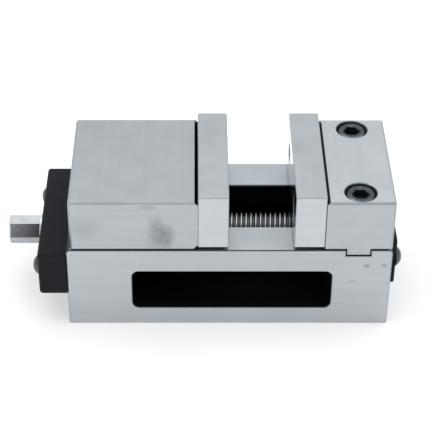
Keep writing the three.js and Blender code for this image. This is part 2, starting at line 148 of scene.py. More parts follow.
def stretched_noise(tree, stretch, detail=3.0, distortion=0.0):
    """Noise on the piece's own coordinates; stretch is the number of blotches a metre along each axis."""
    place = add_node(tree, "ShaderNodeTexCoord").outputs["Object"]
    mapping = add_node(tree, "ShaderNodeMapping", Vector=place, Scale=stretch)
    noise = add_node(tree, "ShaderNodeTexNoise", Vector=mapping.outputs["Vector"], Scale=1.0,
                     Detail=detail, Roughness=0.55, Distortion=distortion)
    return noise.outputs["Fac"]


def ranged(tree, value, low, high, to_low, to_high):
    node = add_node(tree, "ShaderNodeMapRange", Value=value)
    for socket, number in zip(("From Min", "From Max", "To Min", "To Max"), (low, high, to_low, to_high)):
        node.inputs[socket].default_value = number
    return node.outputs["Result"]


def mixed(tree, share, first, second):
    node = tree.nodes.new("ShaderNodeMix")
    node.data_type = "RGBA"
    tree.links.new(share, node.inputs["Factor"])
    for socket, colour in ((node.inputs[6], first), (node.inputs[7], second)):
        if isinstance(colour, bpy.types.NodeSocket):
            tree.links.new(colour, socket)
        else:
            socket.default_value = (*colour, 1)
    return node.outputs[2]


def combined(tree, operation, first, second):
    node = tree.nodes.new("ShaderNodeMath")
    node.operation = operation
    for socket, value in zip(node.inputs, (first, second)):
        if isinstance(value, bpy.types.NodeSocket):
            tree.links.new(value, socket)
        else:
            socket.default_value = value
    return node.outputs[0]


def tinted(colour, share):
    return tuple(min(1, part * share) for part in colour)


def handling_mark(tree, paint, colour, place, size, depth):
    """A soft ragged spot darker than the steel round it."""
    coordinates = add_node(tree, "ShaderNodeTexCoord").outputs["Object"]
    mapping = tree.nodes.new("ShaderNodeMapping")
    mapping.vector_type = "TEXTURE"
    tree.links.new(coordinates, mapping.inputs["Vector"])
    mapping.inputs["Location"].default_value = place
    mapping.inputs["Scale"].default_value = size
    spot = tree.nodes.new("ShaderNodeTexGradient")
    spot.gradient_type = "SPHERICAL"
    tree.links.new(mapping.outputs["Vector"], spot.inputs["Vector"])
    ragged = ranged(tree, stretched_noise(tree, (210, 210, 210), detail=3.0), 0.3, 0.7, 0.55, 1.3)
    share = ranged(tree, combined(tree, "MULTIPLY", spot.outputs["Fac"], ragged), 0.0, 0.7, 0.0, depth)
    return mixed(tree, share, paint, tinted(colour, 0.3))


def ground_steel(name, colour, grain, marks=(), polish=0.30):
    """Surface-ground steel: fine straight grain, faint clouds and handling marks at given places."""
    material = bpy.data.materials.new(name)
    material.use_nodes = True
    tree = material.node_tree
    shader = tree.nodes["Principled BSDF"]
    lines = stretched_noise(tree, grain, detail=2.0)
    clouds = stretched_noise(tree, (42, 60, 60), detail=5.0, distortion=0.5)
    bands = stretched_noise(tree, tuple(max(9, count / 9) for count in grain), detail=2.0)
    cloud_tone = ranged(tree, clouds, 0.3, 0.7, 0.0, 0.66)
    band_tone = ranged(tree, bands, 0.3, 0.7, 0.0, 0.34)
    tone = combined(tree, "ADD", cloud_tone, band_tone)
    paint = mixed(tree, tone, tinted(colour, 0.935), tinted(colour, 1.05))
    for place, size, depth in marks:
        paint = handling_mark(tree, paint, colour, place, size, depth)
    tree.links.new(paint, shader.inputs["Base Color"])
    shader.inputs["Metallic"].default_value = 1.0
    rough = combined(tree, "ADD", ranged(tree, clouds, 0.3, 0.7, polish, polish + 0.08),
                     ranged(tree, lines, 0.3, 0.7, 0.0, polish / 3))
    tree.links.new(rough, shader.inputs["Roughness"])
    bump = add_node(tree, "ShaderNodeBump", Height=lines, Strength=0.10, Distance=0.05 * mm)
    tree.links.new(bump.outputs["Normal"], shader.inputs["Normal"])
    return material


def black_oxide_and_shade_finish(name, colour, roughness, metallic=0.35, gloss=0.3):
    """Black oxide on steel, and near-black painted shade: uneven tone, satin, with a fine tooth."""
    material = bpy.data.materials.new(name)
    material.use_nodes = True
    tree = material.node_tree
    shader = tree.nodes["Principled BSDF"]
    clouds = stretched_noise(tree, (70, 70, 70), detail=4.0)
    tooth = stretched_noise(tree, (1500, 1500, 1500), detail=2.0)
    paint = mixed(tree, ranged(tree, clouds, 0.3, 0.7, 0.0, 1.0), tinted(colour, 0.8), tinted(colour, 1.25))
    tree.links.new(paint, shader.inputs["Base Color"])
    shader.inputs["Metallic"].default_value = metallic
    shader.inputs["Specular IOR Level"].default_value = gloss
    tree.links.new(ranged(tree, clouds, 0.3, 0.7, roughness - 0.08, roughness + 0.08),
                   shader.inputs["Roughness"])
    bump = add_node(tree, "ShaderNodeBump", Height=tooth, Strength=0.22, Distance=0.04 * mm)
    tree.links.new(bump.outputs["Normal"], shader.inputs["Normal"])
    return material


def near(value, target):
    return abs(value - target) < 0.01 * mm


def merged_copy(node):
    """The CAD node's shape as whole flat faces, ready for its edges to be broken."""
    shape = bmesh.new()
    shape.from_mesh(frame["nodes"][node].data)
    bmesh.ops.remove_doubles(shape, verts=shape.verts, dist=0.002 * mm)
    bmesh.ops.dissolve_limit(shape, angle_limit=math.radians(0.5), verts=shape.verts, edges=shape.edges)
    return shape


def all_parts(shape):
    return shape.verts[:] + shape.edges[:] + shape.faces[:]


def cut_edge(shape, low, high, outward, width, finish):
    """Cuts a straight chamfer along a whole outer edge of a block; outward points out across that edge."""
    corner = Vector([(end - start) / 2 * side + (end + start) / 2
                     for start, end, side in zip(low, high, outward)])
    slope = Vector(outward).normalized()
    bmesh.ops.bisect_plane(shape, geom=all_parts(shape), dist=0.001 * mm,
                           plane_co=corner - slope * width / math.sqrt(2), plane_no=slope, clear_outer=True)
    rim = [edge for edge in shape.edges if edge.is_boundary]
    for face in bmesh.ops.edgeloop_fill(shape, edges=rim)["faces"]:
        face.material_index = finish


def break_edges(shape, width, chosen, finish, segments=1):
    """Chamfers or rounds every sharp outer edge for which chosen(middle, direction) holds."""
    edges = []
    for edge in shape.edges:
        if len(edge.link_faces) == 2 and edge.is_convex and edge.calc_face_angle() > math.radians(40):
            start, end = (vert.co for vert in edge.verts)
            if chosen((start + end) / 2, (end - start).normalized()):
                edges.append(edge)
    broken = bmesh.ops.bevel(shape, geom=edges, offset=width, offset_type="OFFSET", affect="EDGES",
                             segments=segments, profile=0.5, material=-1, clamp_overlap=False)
    for face in broken["faces"]:
        face.material_index = finish


def make_piece(shape, name, body, materials, stands_for, sharp_angle=38):
    """Turns a bmesh into a finished piece that rides on its body and stands for its CAD nodes."""
    bmesh.ops.remove_doubles(shape, verts=shape.verts, dist=0.001 * mm)
    bmesh.ops.recalc_face_normals(shape, faces=shape.faces)
    mesh = bpy.data.meshes.new(name)
    shape.to_mesh(mesh)
    shape.free()
    if "custom_normal" in mesh.attributes:
        mesh.attributes.remove(mesh.attributes["custom_normal"])
    mesh.shade_smooth()
    mesh.set_sharp_from_angle(angle=math.radians(sharp_angle))
    for material in materials:
        mesh.materials.append(material)
    piece = bpy.data.objects.new(name, mesh)
    bpy.context.scene.collection.objects.link(piece)
    weighted = piece.modifiers.new("flat_faces", "WEIGHTED_NORMAL")
    weighted.keep_sharp = True
    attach(piece, body)
    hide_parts(*stands_for)


bed_low, bed_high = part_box("vise_body")
steel_tone = (0.50, 0.525, 0.545)
grain_along = (45, 3000, 3000)
grain_across = (3000, 45, 3000)
# each mark: its middle, how far it reaches along each axis, how dark it is
bed_marks = [
    ((91.1 * mm, -50 * mm, 49.6 * mm), (2.8 * mm, 4 * mm, 1.9 * mm), 0.62),
    ((102.4 * mm, -50 * mm, 49.9 * mm), (2.6 * mm, 4 * mm, 1.7 * mm), 0.45),
    ((82.0 * mm, -50 * mm, 36.5 * mm), (3.0 * mm, 4 * mm, 1.9 * mm), 0.26),
]
bed_steel = ground_steel("ground_bed_steel", tinted(steel_tone, 0.93), grain_along, bed_marks)
# chamfers on the bed, jaws and plates are painted darker than their faces, as painted shade
edge_steel = ground_steel("chamfer_steel_painted_shade", tinted(steel_tone, 0.70), grain_along)
# chamfers in joints, beside the plates, along the slot and round the window are painted near black, as
# painted shade
dark_edge_steel = ground_steel("deep_shade_edge_steel", tinted(steel_tone, 0.12), grain_along)
# near black with almost no gloss: inside the bed's slot, pocket and window, and, as painted shade, on the
# faces where jaws and plates meet and in the movable jaw's notches
recess_black = black_oxide_and_shade_finish("near_black_recess", (0.0016, 0.0016, 0.0018), roughness=0.7, metallic=0.0,
                               gloss=0.08)
bed_edge, bed_recess, bed_shaded_edge = 1, 2, 3

bed = merged_copy("vise_body")
# the faces inside the slot, the pocket and the window are painted near black
for face in bed.faces:
    centre = face.calc_center_median()
    off_the_sides = abs(centre.x) < bed_high.x - mm and abs(centre.y) < bed_high.y - mm
    if off_the_sides and mm < centre.z < bed_high.z - mm:
        face.material_index = bed_recess


def on_bed_outline(middle, direction):
    touching = near(abs(middle.y), bed_high.y) + near(abs(middle.x), bed_high.x)
    return touching + near(middle.z, bed_high.z) + near(middle.z, bed_low.z) >= 2


def on_bed_skin(middle, direction):
    outside = near(abs(middle.y), bed_high.y) or near(abs(middle.x), bed_high.x) or near(middle.z, bed_high.z)
    return outside and not on_bed_outline(middle, direction)


def on_side_opening(middle, direction):
    return on_bed_skin(middle, direction) and near(abs(middle.y), bed_high.y)


def along_the_ways(middle, direction):
    return on_bed_skin(middle, direction) and near(middle.z, bed_high.z) and abs(direction.x) > 0.9


# the chamfers round the window, along the slot and along the top's outer edges are painted dark as shade
break_edges(bed, 0.5 * mm, on_side_opening, finish=bed_shaded_edge)
break_edges(bed, 0.9 * mm, along_the_ways, finish=bed_shaded_edge)
break_edges(bed, 0.3 * mm, on_bed_skin, finish=bed_edge)
for end in (-1, 1):
    cut_edge(bed, bed_low, bed_high, (end, 0, 1), 2.6 * mm, finish=bed_shaded_edge)
    cut_edge(bed, bed_low, bed_high, (0, end, 1), 0.6 * mm, finish=bed_shaded_edge)
    cut_edge(bed, bed_low, bed_high, (0, end, -1), 0.6 * mm, finish=bed_edge)
    cut_edge(bed, bed_low, bed_high, (end, 0, -1), 0.6 * mm, finish=bed_edge)
    for side in (-1, 1):
        cut_edge(bed, bed_low, bed_high, (end, side, 0), 0.8 * mm, finish=bed_edge)
make_piece(bed, "bed", "base", [bed_steel, edge_steel, recess_black, dark_edge_steel],
           ["vise_body"])

# ---- Fixed jaw ----------------------------------------------------------------------------------------
# A ground block bolted down on the bed's end. A tongue under it sits in the slot across the bed and takes
# the clamping force, and two deep counterbores hold its bolts. Its top edge is broken beside the plate.


def round_bores(shape, centre, axis, radius):
    """Halves the sides of a bore about an axis through centre, so that its rim looks round."""
    def off_axis(point):
        arm = point - centre
        return arm - axis * arm.dot(axis)

    rims = [edge for edge in shape.edges
            if all(abs(off_axis(vert.co).length - radius) < 0.02 * mm for vert in edge.verts)
            and abs((edge.verts[0].co - edge.verts[1].co).dot(axis)) < 0.01 * mm]
    halved = bmesh.ops.subdivide_edges(shape, edges=rims, cuts=1, use_grid_fill=True)
    for part in halved["geom_inner"]:
        if isinstance(part, bmesh.types.BMVert):
            arm = off_axis(part.co)
            part.co += arm.normalized() * (radius - arm.length)


fixed_low, fixed_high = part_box("fixed_jaw")
counterbore_radius = 10.65 * mm
# the side and the top are painted different tones of one steel, as painted light and shade; their grain runs
# different ways
fixed_front_steel = ground_steel("fixed_jaw_side_steel", tinted(steel_tone, 0.89), grain_along)
fixed_top_steel = ground_steel("fixed_jaw_top_steel", tinted(steel_tone, 1.02), grain_across)
fixed_jaw = merged_copy("fixed_jaw")
seating = 0.25 * mm  # the plates are drawn tight against their jaws
jaw_top, jaw_edge, jaw_shaded_edge, jaw_recess = 1, 2, 3, 4
for vert in fixed_jaw.verts:
    if near(vert.co.x, fixed_low.x):
        vert.co.x -= seating
fixed_low.x -= seating
for side in ("front", "rear"):
    bolt_low, bolt_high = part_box(f"fixed_jaw_bolt_{side}")
    round_bores(fixed_jaw, (bolt_low + bolt_high) / 2, Vector((0, 0, 1)), counterbore_radius)
# the top takes its painted tone, the face against the plate is painted near black as shade, and the slanting
# face beside it the chamfer's painted shade
for face in fixed_jaw.faces:
    if face.normal.z > 0.9:
        face.material_index = jaw_top
    elif face.normal.x < -0.5 and near(face.calc_center_median().x, fixed_low.x):
        face.material_index = jaw_recess
    elif face.normal.x < -0.5 and face.normal.z > 0.5:
        face.material_index = jaw_edge


def on_counterbore_rim(middle, direction):
    inboard = abs(middle.y) < fixed_high.y - mm and fixed_low.x + 3 * mm < middle.x < fixed_high.x - mm
    return near(middle.z, fixed_high.z) and inboard


def on_seam_with_bed(middle, direction):
    return near(abs(middle.y), fixed_high.y) and middle.z < bed_high.z + mm


break_edges(fixed_jaw, 0.45 * mm, on_counterbore_rim, finish=jaw_edge)
# the chamfers at the seam with the bed and down the edges beside the plate are painted dark as shade
break_edges(fixed_jaw, 0.4 * mm, on_seam_with_bed, finish=jaw_shaded_edge)
for side in (-1, 1):
    cut_edge(fixed_jaw, fixed_low, fixed_high, (0, side, 1), 1.2 * mm, finish=jaw_edge)
    cut_edge(fixed_jaw, fixed_low, fixed_high, (1, side, 0), 1.2 * mm, finish=jaw_edge)
    cut_edge(fixed_jaw, fixed_low, fixed_high, (-1, side, 0), 0.4 * mm, finish=jaw_shaded_edge)
cut_edge(fixed_jaw, fixed_low, fixed_high, (1, 0, 1), 1.2 * mm, finish=jaw_edge)
make_piece(fixed_jaw, "fixed_jaw_block", "base",
           [fixed_front_steel, fixed_top_steel, edge_steel, dark_edge_steel, recess_black], ["fixed_jaw"])

# ---- Jaw bolts ----------------------------------------------------------------------------------------
# Two black-oxide socket cap screws hold the fixed jaw down. Their heads are turned, with a hexagon socket
# in the top, and their rims are worn a little brighter.


def turned(profile, steps=48, closed=False):
    """Turns an outline of (radius, height) points about the Z axis."""
    shape = bmesh.new()
    points = [shape.verts.new((radius, 0, height)) for radius, height in profile]
    edges = [shape.edges.new(pair) for pair in zip(points, points[1:])]
    if closed:
        edges.append(shape.edges.new((points[-1], points[0])))
    bmesh.ops.spin(shape, geom=points + edges, cent=(0, 0, 0), axis=(0, 0, 1), dvec=(0, 0, 0),
                   angle=2 * math.pi, steps=steps, use_merge=True, use_duplicate=False)
    bmesh.ops.remove_doubles(shape, verts=shape.verts, dist=0.002 * mm)
    return shape


def sink_socket(shape, across_flats, depth):
    """Carries the open loop at the top of a turned head down into a hexagon socket with a drilled end."""
    corner = across_flats / math.sqrt(3)
    rim = [edge for edge in shape.edges if edge.is_boundary]
    # each stage: share of the depth, whether it is six-sided, share of the distance to a flat
    stages = ((0.12, True, 1.0), (1.0, True, 1.0), (1.0, False, 0.8), (1.18, False, 0.0))
    for drop, six_sided, share in stages:
        ring = bmesh.ops.extrude_edge_only(shape, edges=rim)["geom"]
        rim = [part for part in ring if isinstance(part, bmesh.types.BMEdge)]
        for vert in {vert for part in rim for vert in part.verts}:
            turn = math.atan2(vert.co.y, vert.co.x)
            reach = corner * math.cos(math.pi / 6)
            if six_sided:
                reach /= math.cos((turn + math.pi / 6) % (math.pi / 3) - math.pi / 6)
            vert.co = (share * reach * math.cos(turn), share * reach * math.sin(turn), -drop * depth)
    bmesh.ops.remove_doubles(shape, verts=shape.verts, dist=0.01 * mm)


def place_screw(shape, node, outward, turn=0.0):
    """Puts a screw made with its head's top at the origin and its shank down Z where the CAD screw is."""
    low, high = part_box(node)
    outward = Vector(outward)
    reach = abs((high - low).dot(outward)) / 2
    stand = Matrix.Translation((low + high) / 2 + outward * reach)
    aim = Vector((0, 0, 1)).rotation_difference(outward).to_matrix().to_4x4()
    bmesh.ops.transform(shape, matrix=stand @ aim @ Matrix.Rotation(turn, 4, "Z"), verts=shape.verts)


head_rim, head_socket = 1, 2


def cap_screw(node, outward, head_radius, head_height, shank_radius, across_flats, depth, turn=0.0):
    low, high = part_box(node)
    length = abs((high - low).dot(Vector(outward)))
    chamfer = 0.09 * head_radius
    socket_rim = across_flats / math.sqrt(3) * 1.06
    shape = turned([
        (socket_rim, 0), (head_radius - chamfer, 0), (head_radius, -chamfer),
        (head_radius, chamfer - head_height), (head_radius - chamfer, -head_height),
        (shank_radius, -head_height), (shank_radius, mm - length), (shank_radius - mm, -length), (0, -length),
    ])
    sink_socket(shape, across_flats, depth)
    shape.normal_update()
    for face in shape.faces:
        middle = face.calc_center_median()
        off_axis = math.hypot(middle.x, middle.y)
        if -chamfer < middle.z < 0 and off_axis > head_radius - chamfer:
            face.material_index = head_rim
        elif off_axis < socket_rim * 0.99 and -1.5 * depth < middle.z < -0.1 * depth:
            face.material_index = head_socket
    place_screw(shape, node, outward, turn)
    return shape


fastener_black = black_oxide_and_shade_finish("black_oxide_fastener", (0.078, 0.082, 0.09), roughness=0.36, metallic=0.9)
fastener_rim = black_oxide_and_shade_finish("worn_fastener_rim", (0.20, 0.21, 0.22), roughness=0.32, metallic=0.95)
socket_black = black_oxide_and_shade_finish("unlit_socket", (0.012, 0.012, 0.013), roughness=0.55)
cap_finishes = [fastener_black, fastener_rim, socket_black]
for side in ("front", "rear"):
    node = f"fixed_jaw_bolt_{side}"
    bolt = cap_screw(node, (0, 0, 1), head_radius=9 * mm, head_height=12 * mm, shank_radius=6 * mm,
                     across_flats=10 * mm, depth=6 * mm, turn=math.pi / 6)
    make_piece(bolt, f"jaw_bolt_{side}", "base", cap_finishes, [node], sharp_angle=28)

# ---- Jaw plates ---------------------------------------------------------------------------------------
# Thick hardened plates, ground all over, one screwed to each jaw with two cap screws sunk in its gripping
# face. Their fronts are painted a little brighter than the jaws behind them and their tops darker, as painted
# light and shade.

# front, top and gripping faces are painted different tones of one steel, as painted light and shade; the
# gripping face is painted brighter as a painted sheen and is also smoother
plate_front_steel = ground_steel("hardened_front_steel", (0.542, 0.56, 0.58), grain_along)
plate_top_steel = ground_steel("hardened_top_steel", (0.45, 0.472, 0.492), grain_across)
grip_sheen_steel = ground_steel("gripping_face_painted_sheen_steel", (0.60, 0.62, 0.64), grain_across, polish=0.10)
plate_finishes = [plate_front_steel, plate_top_steel, edge_steel, grip_sheen_steel, recess_black]
plate_top, plate_edge, plate_grip, plate_back = 1, 2, 3, 4
plate_counterbore_radius = 7 * mm
for kind, body, inward in (("fixed", "base", 1), ("movable", "sliding_jaw", -1)):
    plate = merged_copy(f"{kind}_jaw_plate")
    plate_low, plate_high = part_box(f"{kind}_jaw_plate")
    for side in ("front", "rear"):
        screw_low, screw_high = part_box(f"{kind}_plate_screw_{side}")
        round_bores(plate, (screw_low + screw_high) / 2, Vector((1, 0, 0)), plate_counterbore_radius)
    # the back face, against the jaw, is painted near black as shade
    for face in plate.faces:
        if face.normal.z > 0.9:
            face.material_index = plate_top
        elif face.normal.x * inward < -0.9:
            face.material_index = plate_grip
        elif face.normal.x * inward > 0.9:
            face.material_index = plate_back

    def on_screw_hole(middle, direction):
        faces = near(middle.x, plate_low.x) + near(middle.x, plate_high.x)
        sides = near(abs(middle.y), plate_high.y) + near(middle.z, plate_low.z) + near(middle.z, plate_high.z)
        return faces == 1 and sides == 0

    break_edges(plate, 0.35 * mm, on_screw_hole, finish=plate_edge)
    for side in (-1, 1):
        cut_edge(plate, plate_low, plate_high, (0, side, 1), 0.4 * mm, finish=plate_edge)
        cut_edge(plate, plate_low, plate_high, (0, side, -1), 0.9 * mm, finish=plate_edge)
        cut_edge(plate, plate_low, plate_high, (side, 0, 1), 0.4 * mm, finish=plate_edge)
        cut_edge(plate, plate_low, plate_high, (side, 0, -1), 0.4 * mm, finish=plate_edge)
        cut_edge(plate, plate_low, plate_high, (side, 1, 0), 1.1 * mm, finish=plate_edge)
        cut_edge(plate, plate_low, plate_high, (side, -1, 0), 0.4 * mm, finish=plate_edge)
    make_piece(plate, f"{kind}_plate", body, plate_finishes, [f"{kind}_jaw_plate"])
    for side in ("front", "rear"):
        node = f"{kind}_plate_screw_{side}"
        screw = cap_screw(node, (-inward, 0, 0), head_radius=6.5 * mm, head_height=8 * mm,
                          shank_radius=4 * mm, across_flats=6 * mm, depth=4 * mm)
        make_piece(screw, f"{kind}_plate_cap_screw_{side}", body, cap_finishes, [node],
                   sharp_angle=28)

# ---- Movable jaw --------------------------------------------------------------------------------------
# A long ground block that slides on the bed. Its top edge beside the plate is broken and painted dark as
# shade, a small notch painted black as shade is cut at each lower corner there, and its front side carries a
# soft stain and a few handling marks.

jaw_low, jaw_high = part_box("movable_jaw")
jaw_underside = bed_high.z + 0.4 * mm
notch_depth = 0.9 * mm
notch_height = 3.6 * mm
jaw_marks = [
    ((-45.5 * mm, -49.2 * mm, 72 * mm), (11 * mm, 6 * mm, 15 * mm), 0.46),
    ((-41.0 * mm, -49.2 * mm, 74 * mm), (7 * mm, 6 * mm, 11 * mm), 0.30),
    ((-48.0 * mm, -49.2 * mm, 84 * mm), (6 * mm, 6 * mm, 9 * mm), 0.24),
    ((-53.5 * mm, -49.2 * mm, 97 * mm), (8 * mm, 6 * mm, 2.6 * mm), 0.28),
    ((-94.0 * mm, -49.2 * mm, 80 * mm), (13 * mm, 6 * mm, 11 * mm), 0.18),
]
# the side and the top are painted different tones of one steel, as painted light and shade
jaw_front_steel = ground_steel("movable_jaw_side_steel", tinted(steel_tone, 0.885), grain_along, jaw_marks)
jaw_top_steel = ground_steel("movable_jaw_top_steel", tinted(steel_tone, 0.845), grain_across)
movable_jaw = merged_copy("movable_jaw")
for vert in movable_jaw.verts:
    if near(vert.co.x, jaw_high.x):
        vert.co.x += seating
jaw_high.x += seating
# faces turned to the plate are painted near black, and their top chamfer dark, as shade
for face in movable_jaw.faces:
    if face.normal.z > 0.9:
        face.material_index = jaw_top
    elif face.normal.x > 0.5 and face.calc_center_median().z > bed_high.z:
        face.material_index = jaw_shaded_edge if face.normal.z > 0.5 else jaw_recess


def at_notch(middle, direction):
    lower_corner = near(middle.x, jaw_high.x) and near(middle.z, jaw_underside)
    return lower_corner and abs(middle.y) > jaw_high.y - notch_depth


def along_underside(middle, direction):
    return near(abs(middle.y), jaw_high.y) and near(middle.z, jaw_underside) and abs(direction.x) > 0.9


# a shallow notch at each lower corner by the plate, its walls painted black as shade
for side in (-1, 1):
    bmesh.ops.bisect_plane(movable_jaw, geom=all_parts(movable_jaw),
                           plane_co=(0, side * (jaw_high.y - notch_depth), 0), plane_no=(0, 1, 0))
break_edges(movable_jaw, notch_height, at_notch, finish=jaw_recess)
movable_jaw.normal_update()
for face in movable_jaw.faces:
    if near(abs(face.calc_center_median().y), jaw_high.y - notch_depth) and abs(face.normal.y) > 0.9:
        face.material_index = jaw_recess
# the lower side edges are painted dark as shade where the jaw sits on the bed
break_edges(movable_jaw, 0.5 * mm, along_underside, finish=jaw_shaded_edge)
for side in (-1, 1):
    cut_edge(movable_jaw, jaw_low, jaw_high, (0, side, 1), 0.8 * mm, finish=jaw_edge)
    cut_edge(movable_jaw, jaw_low, jaw_high, (-1, side, 0), 1.4 * mm, finish=jaw_edge)
cut_edge(movable_jaw, jaw_low, jaw_high, (-1, 0, 1), 1.4 * mm, finish=jaw_edge)
make_piece(movable_jaw, "movable_jaw_block", "sliding_jaw",
           [jaw_front_steel, jaw_top_steel, edge_steel, dark_edge_steel, recess_black], ["movable_jaw"])

# ---- Lead screw ---------------------------------------------------------------------------------------
# One steel bar: a hexagon for the crank, a ground journal, a left-hand thread cut between the end plates and
# a thinner journal at the tail. Its thread is painted dark as shade, and the hexagon's flats carry painted
# light and shade.


def polished_steel(name, colour, roughness, grain=(900, 900, 900), shade_span=None):
    """Turned and polished steel; the optional span gives two places along X between which it is painted
    darker, as painted shade.
    """
    material = bpy.data.materials.new(name)
    material.use_nodes = True
    tree = material.node_tree
    shader = tree.nodes["Principled BSDF"]
    clouds = stretched_noise(tree, (110, 110, 110), detail=4.0)
    scratches = stretched_noise(tree, grain, detail=3.0)
    paint = mixed(tree, ranged(tree, clouds, 0.3, 0.7, 0.0, 1.0), tinted(colour, 0.9), tinted(colour, 1.06))
    # painted shade that deepens along X between the two places
    if shade_span:
        place = add_node(tree, "ShaderNodeTexCoord").outputs["Object"]
        along = add_node(tree, "ShaderNodeSeparateXYZ", Vector=place).outputs["X"]
        paint = mixed(tree, ranged(tree, along, *shade_span, 0.0, 1.0), paint, tinted(colour, 0.2))
    tree.links.new(paint, shader.inputs["Base Color"])
    shader.inputs["Metallic"].default_value = 1.0
    tree.links.new(ranged(tree, scratches, 0.3, 0.7, roughness, roughness + 0.06), shader.inputs["Roughness"])
    bump = add_node(tree, "ShaderNodeBump", Height=scratches, Strength=0.04, Distance=0.01 * mm)
    tree.links.new(bump.outputs["Normal"], shader.inputs["Normal"])
    return material


def lay_along_x(shape, start, axis_height):
    """Lays a shape turned about Z along X, its height 0 at start."""
    lay = Matrix.Translation((start, 0, axis_height)) @ Matrix.Rotation(math.pi / 2, 4, "Y")
    bmesh.ops.transform(shape, matrix=lay, verts=shape.verts)


def add_shape(target, addition):
    scrap = bpy.data.meshes.new("scrap")
    addition.to_mesh(scrap)
    addition.free()
    target.from_mesh(scrap)
    bpy.data.meshes.remove(scrap)


screw_low, screw_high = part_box("lead_screw")
screw_axis = frame["record"]["behaviour"]["joints"][0]["pos_m"][2]
plate_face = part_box("drive_end_plate")[0].x
journal_start = plate_face - 2.2 * mm
journal_radius = 10.5 * mm
tail_radius = 8 * mm
thread_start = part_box("thrust_collar")[1].x + 0.3 * mm
thread_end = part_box("tail_bush")[0].x - 0.3 * mm
thread_radius = screw_high.z - screw_axis
pitch = 3.3 * mm
root_radius = thread_radius - 1.9 * mm
shoulder_radius = thread_radius - 0.15 * mm
steps_a_turn = 36
turns = math.ceil((thread_end - thread_start) / pitch) + 2
thread_root, thread_crest, level_flat, upper_flat, lower_flat = 1, 2, 3, 4, 5

# one ridge of the thread as (share of the pitch, radius)
thread_outline = [(0, root_radius), (0.26, root_radius), (0.40, shoulder_radius), (0.46, thread_radius),
                  (0.68, thread_radius), (0.74, shoulder_radius), (0.88, root_radius), (1, root_radius)]
lead_screw = bmesh.new()
ridge = [lead_screw.verts.new((thread_end + along * pitch, 0, screw_axis + radius))
         for along, radius in thread_outline]
ridge += [lead_screw.edges.new(pair) for pair in zip(ridge, ridge[1:])]
bmesh.ops.spin(lead_screw, geom=ridge, cent=(0, 0, screw_axis), axis=(1, 0, 0),
               dvec=(-pitch / steps_a_turn, 0, 0), angle=2 * math.pi, steps=steps_a_turn,
               use_merge=False, use_duplicate=False)
one_turn = all_parts(lead_screw)
for turn in range(1, turns):
    copied = bmesh.ops.duplicate(lead_screw, geom=one_turn)["geom"]
    bmesh.ops.translate(lead_screw, vec=(-turn * pitch, 0, 0),
                        verts=[part for part in copied if isinstance(part, bmesh.types.BMVert)])
bmesh.ops.remove_doubles(lead_screw, verts=lead_screw.verts, dist=0.005 * mm)
for end, outward in ((thread_end, 1), (thread_start, -1)):
    bmesh.ops.bisect_plane(lead_screw, geom=all_parts(lead_screw), dist=0.001 * mm,
                           plane_co=(end, 0, screw_axis), plane_no=(outward, 0, 0), clear_outer=True)
bmesh.ops.holes_fill(lead_screw, edges=[edge for edge in lead_screw.edges if edge.is_boundary], sides=0)
# the roots are painted near black and the crests darker than the bar, as painted shade
for face in lead_screw.faces:
    middle = face.calc_center_median()
    deep = math.hypot(middle.y, middle.z - screw_axis) < thread_radius - 0.4 * mm
    face.material_index = thread_root if deep else thread_crest

overlap = 2 * mm  # how far the journal and the tail run into the threaded length
journal_length = thread_start + overlap - journal_start
journal = turned([(0, 0), (journal_radius - 0.8 * mm, 0), (journal_radius, 0.8 * mm),
                  (journal_radius, journal_length), (0, journal_length)])
lay_along_x(journal, journal_start, screw_axis)
tail_length = screw_high.x - thread_end + overlap
tail = turned([(0, 0), (tail_radius, 0), (tail_radius, tail_length - 0.6 * mm),
               (tail_radius - 0.6 * mm, tail_length), (0, tail_length)])
lay_along_x(tail, thread_end - overlap, screw_axis)

hex_corner = 17 * mm / math.sqrt(3)
hex_length = journal_start - screw_low.x + mm
hexagon = bmesh.new()
bmesh.ops.create_cone(hexagon, cap_ends=True, segments=6, radius1=hex_corner, radius2=hex_corner,
                      depth=hex_length)
bmesh.ops.translate(hexagon, verts=hexagon.verts, vec=(0, 0, hex_length / 2))
end_rim = [edge for edge in hexagon.edges if all(vert.co.z < 0.1 * mm for vert in edge.verts)]
bmesh.ops.bevel(hexagon, geom=end_rim, offset=1.5 * mm, offset_type="OFFSET", affect="EDGES", segments=4,
                profile=0.5, material=-1)
long_edges = [edge for edge in hexagon.edges if abs((edge.verts[0].co - edge.verts[1].co).z) > 5 * mm]
bmesh.ops.bevel(hexagon, geom=long_edges, offset=0.2 * mm, offset_type="OFFSET", affect="EDGES", segments=1,
                profile=0.5, material=-1)
lay_along_x(hexagon, screw_low.x, screw_axis)
hexagon.normal_update()
for face in hexagon.faces:  # painted light and shade by facing: the upper slanting flats get a painted highlight fading to painted shade along X, the lower ones painted shade, the rest a lit tone
    if abs(face.normal.y) < 0.8:
        face.material_index = level_flat
    elif face.normal.z > 0:
        face.material_index = upper_flat
    else:
        face.material_index = lower_flat
for part in (journal, tail, hexagon):
    add_shape(lead_screw, part)
screw_bright = polished_steel("oiled_screw_steel", (0.66, 0.685, 0.705), 0.2)
# the hexagon's flats are painted three tones of one steel by their facing, as painted light and shade: a lit
# tone, a painted highlight that fades to painted shade along X, and painted shade on the lower flats
hexagon_steel = polished_steel("hexagon_steel_painted_light", (0.72, 0.74, 0.76), 0.15)
hexagon_fade_span = (screw_low.x + 3.1 * mm, screw_low.x + 23.1 * mm)
hexagon_highlight_fade = polished_steel("hexagon_steel_painted_highlight_fade", (0.90, 0.92, 0.94), 0.15, shade_span=hexagon_fade_span)
hexagon_shaded = polished_steel("hexagon_steel_painted_shade", (0.42, 0.45, 0.475), 0.2)
